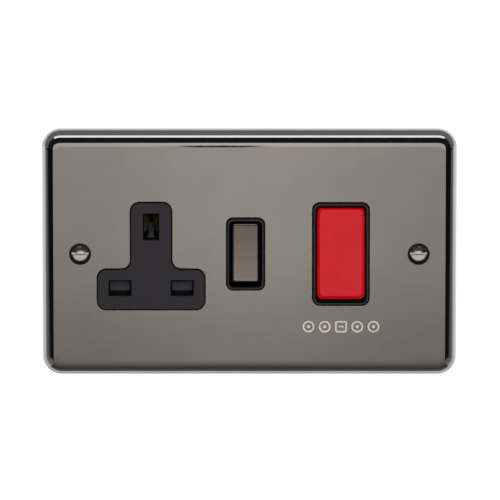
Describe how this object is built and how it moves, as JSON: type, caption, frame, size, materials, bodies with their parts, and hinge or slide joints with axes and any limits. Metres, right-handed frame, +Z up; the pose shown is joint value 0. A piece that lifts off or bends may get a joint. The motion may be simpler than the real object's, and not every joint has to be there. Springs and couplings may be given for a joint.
{
  "type": "cooker control unit",
  "caption": "Wall plate with a red double-pole cooker switch and a shuttered three-pin socket with its own rocker switch",
  "frame": {"origin": "midpoint of the two fixing screws, on the wall plane behind the plate's rim", "axes": "+X to the right along the plate, +Y into the wall, +Z up"},
  "size_m": [0.148, 0.0309, 0.089],
  "materials": {
    "black_nickel": "polished black nickel plate",
    "black_nickel_screw": "black nickel plated steel",
    "black_nickel_cap": "polished black nickel",
    "dark_moulding": "smooth dark grey thermoset",
    "housing": "dark thermoset",
    "red_rocker": "satin red thermoplastic",
    "black_rocker": "satin black thermoplastic",
    "shutter": "grey thermoplastic",
    "spring_steel": "spring steel wire",
    "plunger": "natural nylon",
    "contact_brass": "rolled brass strip",
    "terminal_brass": "machined brass",
    "steel_screw": "zinc plated steel"
  },
  "bodies": {
    "unit": {"front_plate": "black_nickel", "front_moulding": "dark_moulding", "rear_housing": "housing", "fixing_screws": "black_nickel_screw", "assembly_screws": "steel_screw", "terminal_screws": "steel_screw", "earth_screws": "steel_screw", "line_jaw": "contact_brass", "neutral_jaw": "contact_brass", "earth_jaw": "contact_brass", "line_link": "contact_brass", "earth_strap": "contact_brass", "shutter_spring": "spring_steel", "line_supply_contact": "contact_brass", "neutral_supply_contact": "contact_brass", "line_load_contact": "contact_brass", "neutral_load_contact": "contact_brass", "line_supply_terminal": "terminal_brass", "neutral_supply_terminal": "terminal_brass", "line_load_terminal": "terminal_brass", "neutral_load_terminal": "terminal_brass", "upper_earth_terminal": "terminal_brass", "lower_earth_terminal": "terminal_brass"},
    "cooker_rocker": {"cooker_switch_rocker": "red_rocker", "line_plunger_spring": "spring_steel", "neutral_plunger_spring": "spring_steel"},
    "socket_rocker": {"socket_switch_rocker": "black_rocker", "socket_switch_cap": "black_nickel_cap", "socket_plunger_spring": "spring_steel"},
    "line_plunger_body": {"line_plunger": "plunger"},
    "neutral_plunger_body": {"neutral_plunger": "plunger"},
    "socket_plunger_body": {"socket_plunger": "plunger"},
    "line_contact_body": {"line_moving_contact": "contact_brass"},
    "neutral_contact_body": {"neutral_moving_contact": "contact_brass"},
    "socket_contact_body": {"socket_moving_contact": "contact_brass"},
    "shutter_body": {"shutter": "shutter"}
  },
  "joints": [
    {"name": "cooker_rocker_tilt", "type": "hinge", "parent": "unit", "child": "cooker_rocker", "pos_m": [0.0326, -0.0015, 0], "axis": [1, 0, 0], "range_deg": [0, 15]},
    {"name": "socket_rocker_tilt", "type": "hinge", "parent": "unit", "child": "socket_rocker", "pos_m": [-0.00135, -0.0025, 0], "axis": [1, 0, 0], "range_deg": [0, 18]},
    {"name": "line_contact_rock", "type": "hinge", "parent": "unit", "child": "line_contact_body", "pos_m": [0.0276, 0.0096, 0], "axis": [1, 0, 0], "range_deg": [-10.05, 0]},
    {"name": "neutral_contact_rock", "type": "hinge", "parent": "unit", "child": "neutral_contact_body", "pos_m": [0.0376, 0.0096, 0], "axis": [1, 0, 0], "range_deg": [-10.05, 0]},
    {"name": "socket_contact_rock", "type": "hinge", "parent": "unit", "child": "socket_contact_body", "pos_m": [-0.00135, 0.00735, 0], "axis": [1, 0, 0], "range_deg": [-10.05, 0]},
    {"name": "line_plunger_slide", "type": "slide", "parent": "cooker_rocker", "child": "line_plunger_body", "axis": [0, 0.9914, -0.1305], "range_m": [-0.0008, 0], "stiffness_N_per_m": 400, "springref_m": 0.002, "deforming": ["line_plunger_spring"]},
    {"name": "neutral_plunger_slide", "type": "slide", "parent": "cooker_rocker", "child": "neutral_plunger_body", "axis": [0, 0.9914, -0.1305], "range_m": [-0.0008, 0], "stiffness_N_per_m": 400, "springref_m": 0.002, "deforming": ["neutral_plunger_spring"]},
    {"name": "socket_plunger_slide", "type": "slide", "parent": "socket_rocker", "child": "socket_plunger_body", "axis": [0, 0.9877, -0.1564], "range_m": [-0.0008, 0], "stiffness_N_per_m": 400, "springref_m": 0.002, "deforming": ["socket_plunger_spring"]},
    {"name": "shutter_slide", "type": "slide", "parent": "unit", "child": "shutter_body", "axis": [0, 0, -1], "range_m": [0, 0.0055], "stiffness_N_per_m": 150, "springref_m": -0.004, "deforming": ["shutter_spring"]}
  ],
  "couplings": [
    {"joint": "line_contact_rock", "follows": "cooker_rocker_tilt", "ratio": -0.6667},
    {"joint": "neutral_contact_rock", "follows": "cooker_rocker_tilt", "ratio": -0.6667},
    {"joint": "socket_contact_rock", "follows": "socket_rocker_tilt", "ratio": -0.5556}
  ]
}
